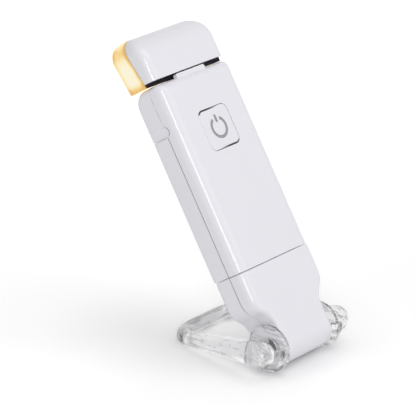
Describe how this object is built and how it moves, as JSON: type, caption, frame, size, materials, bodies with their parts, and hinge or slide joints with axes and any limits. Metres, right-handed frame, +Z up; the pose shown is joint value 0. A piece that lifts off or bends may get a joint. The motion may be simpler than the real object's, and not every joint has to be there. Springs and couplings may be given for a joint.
{
  "type": "clip-on book light",
  "caption": "Slim rechargeable book light on a swinging clear clip loop, with a tilting lamp head, a push button and a pull-off clip base over its charging plug.",
  "frame": {"origin": "on the surface that the light stands on, under the middle of its bounding box", "axes": "+Z up; -Y is the side that the button faces and the handle leans back towards +Y; +X is across the width, along every hinge pin"},
  "size_m": [0.0374, 0.0562, 0.0786],
  "materials": {
    "white_shell": "satin-gloss white",
    "button_white": "satin white",
    "symbol_grey": "matt grey",
    "inner_plastic": "plain moulded",
    "frame_dark": "plain moulded, near black",
    "washer_plastic": "plain",
    "lens_amber": "frosted, lit from inside",
    "led_phosphor": "lit",
    "reflector_white": "bright white",
    "board_white": "white solder mask",
    "board_green": "green solder mask",
    "chip_black": "black",
    "dark_steel": "dark, plain",
    "battery_foil": "foil",
    "foam_black": "foam",
    "plug_steel": "nickel plated",
    "plug_white": "plain",
    "contact_gold": "gold plated",
    "lead_white": "insulation",
    "clear_plastic": "clear, polished"
  },
  "bodies": {
    "handle": {"front_shell": "white_shell", "rear_shell": "white_shell", "rear_cover": "white_shell", "main_board": "board_green", "board_components": "chip_black", "power_switch": "chip_black", "board_screws": "dark_steel", "battery_cell": "battery_foil", "battery_pad": "foam_black", "plug_shell": "plug_steel", "plug_insulator": "plug_white", "plug_contacts": "contact_gold", "head_pivot_pins": "dark_steel", "board_leads": "lead_white"},
    "head": {"head_cap": "white_shell", "head_frame": "frame_dark", "head_screws": "dark_steel", "lens_cover": "lens_amber", "led_board": "board_white", "led_chips": "led_phosphor", "reflector_tray": "reflector_white", "led_leads": "lead_white"},
    "button": {"power_button": "button_white", "power_symbol": "symbol_grey", "switch_plunger": "inner_plastic"},
    "clip_base": {"clip_base_front": "white_shell", "clip_base_rear": "white_shell", "plug_sleeve": "inner_plastic", "clip_pivot_pin": "dark_steel", "friction_washers": "washer_plastic", "pin_clip_rings": "dark_steel"},
    "clip_loop_body": {"clip_loop": "clear_plastic"}
  },
  "joints": [
    {"name": "head_tilt", "type": "hinge", "parent": "handle", "child": "head", "pos_m": [0, 0.0143, 0.06329], "axis": [-1, 0, 0], "range_deg": [0, 90]},
    {"name": "power_press", "type": "slide", "parent": "handle", "child": "button", "axis": [0, 0.8567, -0.5158], "range_m": [0, 0.00035], "stiffness_N_per_m": 1000},
    {"name": "clip_base_pull", "type": "slide", "parent": "handle", "child": "clip_base", "axis": [0, -0.5158, -0.8567], "range_m": [0, 0.014]},
    {"name": "clip_swing", "type": "hinge", "parent": "clip_base", "child": "clip_loop_body", "pos_m": [0, -0.02194, 0.0062], "axis": [1, 0, 0], "range_deg": [-113, 25]}
  ]
}
